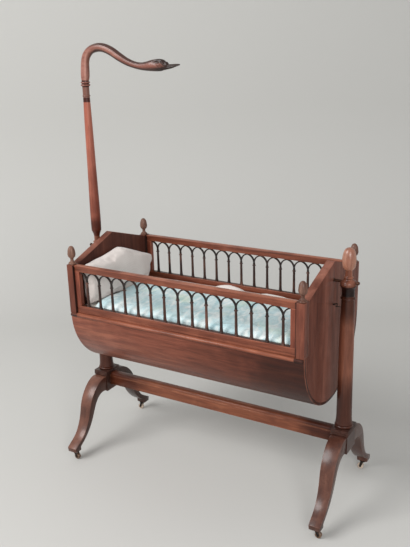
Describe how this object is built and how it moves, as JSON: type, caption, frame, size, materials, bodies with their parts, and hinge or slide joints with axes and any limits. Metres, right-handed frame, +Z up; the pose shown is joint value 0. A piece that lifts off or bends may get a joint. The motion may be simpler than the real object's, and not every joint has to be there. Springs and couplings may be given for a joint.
{
  "type": "swinging cradle on stand",
  "caption": "Rocking cradle with a round-bottomed wooden body and arcaded sides, hung on iron pins between turned columns on splayed legs with casters, with a swan-neck pole for a drape.",
  "frame": {"origin": "on the floor, midway between the two columns on the cradle's middle plane", "axes": "+X from the head end with the swan-neck pole towards the foot end, +Y from front to back across the cradle, +Z up"},
  "size_m": [1.181, 0.544, 1.6938],
  "materials": {
    "mahogany": "waxed",
    "dark_mahogany": "waxed",
    "ebonised": "satin",
    "iron": "satin",
    "porcelain": "glazed",
    "linen": "matt",
    "satin": "soft sheen"
  },
  "bodies": {
    "stand": {"head_column": "mahogany", "foot_column": "mahogany", "foot_knob": "mahogany", "swan_pole": "mahogany", "pole_collar": "dark_mahogany", "swan_neck": "mahogany", "head_hub": "dark_mahogany", "foot_hub": "dark_mahogany", "stretcher": "mahogany", "head_front_leg": "mahogany", "head_back_leg": "mahogany", "foot_front_leg": "mahogany", "foot_back_leg": "mahogany", "caster_plates": "iron", "head_pivot_pin": "iron", "foot_pivot_pin": "iron", "latch_catch": "iron"},
    "head_front_caster": {"head_front_fork": "iron", "head_front_axle": "iron"},
    "head_front_roller": {"head_front_wheel": "porcelain"},
    "head_back_caster": {"head_back_fork": "iron", "head_back_axle": "iron"},
    "head_back_roller": {"head_back_wheel": "porcelain"},
    "foot_front_caster": {"foot_front_fork": "iron", "foot_front_axle": "iron"},
    "foot_front_roller": {"foot_front_wheel": "porcelain"},
    "foot_back_caster": {"foot_back_fork": "iron", "foot_back_axle": "iron"},
    "foot_back_roller": {"foot_back_wheel": "porcelain"},
    "latch": {"latch_hook": "iron"},
    "cradle": {"pivot_bushes": "iron", "head_panel": "mahogany", "foot_panel": "mahogany", "head_front_post": "mahogany", "head_back_post": "mahogany", "foot_front_post": "mahogany", "foot_back_post": "mahogany", "finials": "dark_mahogany", "front_top_rail": "mahogany", "front_bottom_rail": "mahogany", "front_stiles": "mahogany", "front_balusters": "ebonised", "front_arches": "ebonised", "back_top_rail": "mahogany", "back_bottom_rail": "mahogany", "back_stiles": "mahogany", "back_balusters": "ebonised", "back_arches": "ebonised", "gallery_pegs": "dark_mahogany", "bead_mouldings": "mahogany", "front_hull": "dark_mahogany", "back_hull": "dark_mahogany", "bottom_board": "dark_mahogany", "slat_ledgers": "dark_mahogany", "slats": "dark_mahogany", "latch_eye": "iron", "mattress": "linen", "quilt": "satin", "sheet": "linen", "pillow": "linen"}
  },
  "joints": [
    {"name": "cradle_swing", "type": "hinge", "parent": "stand", "child": "cradle", "pos_m": [0, 0, 0.884], "axis": [1, 0, 0], "range_deg": [-22, 22]},
    {"name": "head_front_swivel", "type": "hinge", "parent": "stand", "child": "head_front_caster", "pos_m": [-0.55, -0.247, 0.03], "axis": [0, 0, 1], "continuous": true},
    {"name": "head_front_roll", "type": "hinge", "parent": "head_front_caster", "child": "head_front_roller", "pos_m": [-0.542, -0.247, 0.0125], "axis": [0, 1, 0], "continuous": true},
    {"name": "head_back_swivel", "type": "hinge", "parent": "stand", "child": "head_back_caster", "pos_m": [-0.55, 0.247, 0.03], "axis": [0, 0, 1], "continuous": true},
    {"name": "head_back_roll", "type": "hinge", "parent": "head_back_caster", "child": "head_back_roller", "pos_m": [-0.558, 0.247, 0.0125], "axis": [0, 1, 0], "continuous": true},
    {"name": "foot_front_swivel", "type": "hinge", "parent": "stand", "child": "foot_front_caster", "pos_m": [0.55, -0.247, 0.03], "axis": [0, 0, 1], "continuous": true},
    {"name": "foot_front_roll", "type": "hinge", "parent": "foot_front_caster", "child": "foot_front_roller", "pos_m": [0.558, -0.247, 0.0125], "axis": [0, 1, 0], "continuous": true},
    {"name": "foot_back_swivel", "type": "hinge", "parent": "stand", "child": "foot_back_caster", "pos_m": [0.55, 0.247, 0.03], "axis": [0, 0, 1], "continuous": true},
    {"name": "foot_back_roll", "type": "hinge", "parent": "foot_back_caster", "child": "foot_back_roller", "pos_m": [0.542, 0.247, 0.0125], "axis": [0, 1, 0], "continuous": true},
    {"name": "latch_lift", "type": "hinge", "parent": "cradle", "child": "latch", "pos_m": [0.503, -0.006, 0.797], "axis": [0, -1, 0], "range_deg": [-40, 85]}
  ]
}
